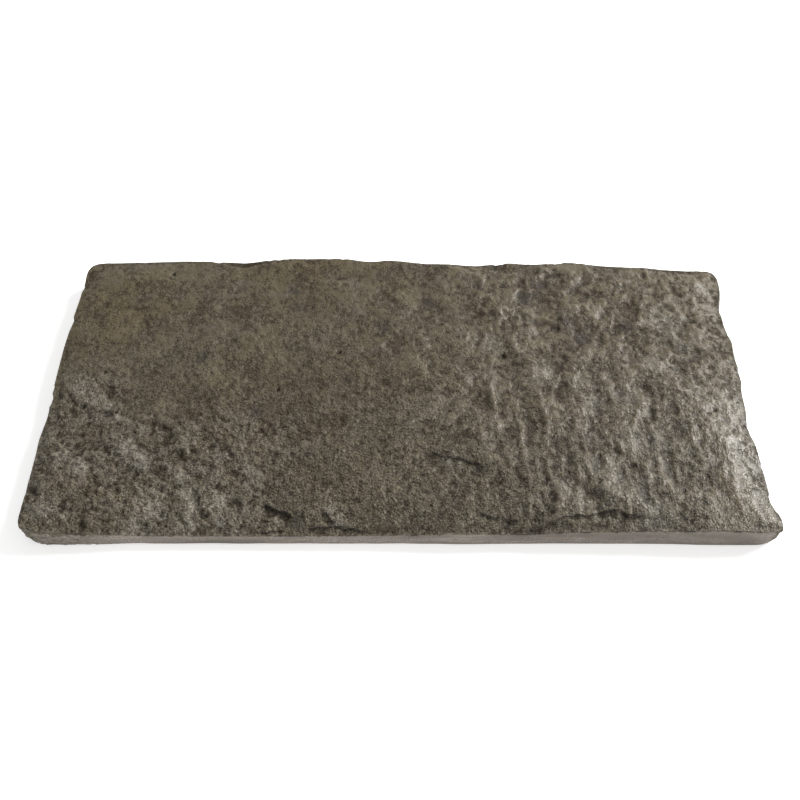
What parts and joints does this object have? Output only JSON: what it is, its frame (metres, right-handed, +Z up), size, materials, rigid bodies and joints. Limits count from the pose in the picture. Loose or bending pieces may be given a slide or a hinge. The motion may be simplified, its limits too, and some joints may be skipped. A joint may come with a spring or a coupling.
{
  "type": "basalt massage stone",
  "caption": "Rectangular riven basalt slab with a rough split top, sawn front face, worn corners and a flat underside, for warming or resting on.",
  "frame": {"origin": "middle of the stone's overall box, on the flat underside", "axes": "+X along the length, +Y across the width away from the sawn front face, +Z up out of the split top"},
  "size_m": [0.3, 0.15, 0.0125],
  "materials": {
    "basalt": "matte"
  },
  "bodies": {
    "root": {"basalt_slab": "basalt"}
  },
  "joints": []
}
